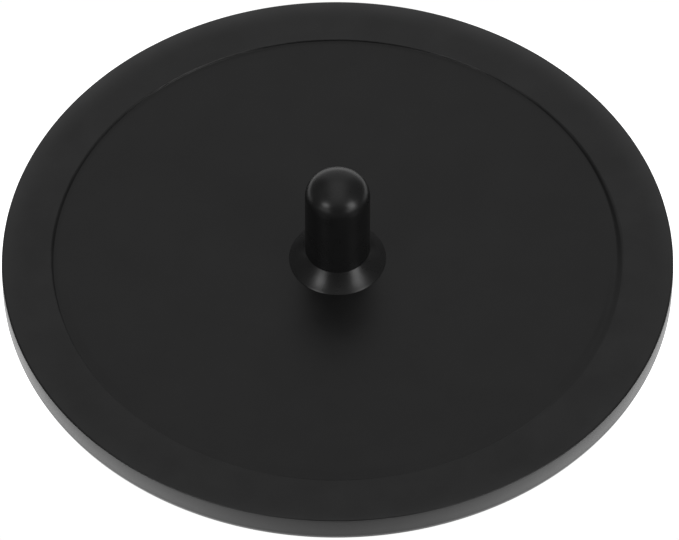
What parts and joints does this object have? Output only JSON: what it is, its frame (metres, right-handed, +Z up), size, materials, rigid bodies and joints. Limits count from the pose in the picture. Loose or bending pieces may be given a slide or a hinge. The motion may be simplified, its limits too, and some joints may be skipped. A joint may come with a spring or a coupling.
{
  "type": "sink stopper",
  "caption": "Flat round rubber sink stopper with a shallow recessed top and a domed pull stem that turns in it, screwed on from the underside.",
  "frame": {"origin": "centre of the underside of the disc, on the surface that it lies on", "axes": "+Z up along the stem and the screw; +X along the slot in the screw's head"},
  "size_m": [0.058, 0.058, 0.0135],
  "materials": {
    "seal_rubber": "fine moulded satin",
    "stem_plastic": "smooth semi-gloss",
    "sleeve_brass": "turned",
    "washer_steel": "stamped and tumbled",
    "screw_steel": "turned"
  },
  "bodies": {
    "disc": {"seal_disc": "seal_rubber"},
    "stem": {"pull_stem": "stem_plastic", "spacer_sleeve": "sleeve_brass", "backing_washer": "washer_steel", "stem_screw": "screw_steel"}
  },
  "joints": [
    {"name": "stem_swivel", "type": "hinge", "parent": "disc", "child": "stem", "pos_m": [0, 0, 0], "axis": [0, 0, 1], "continuous": true}
  ]
}
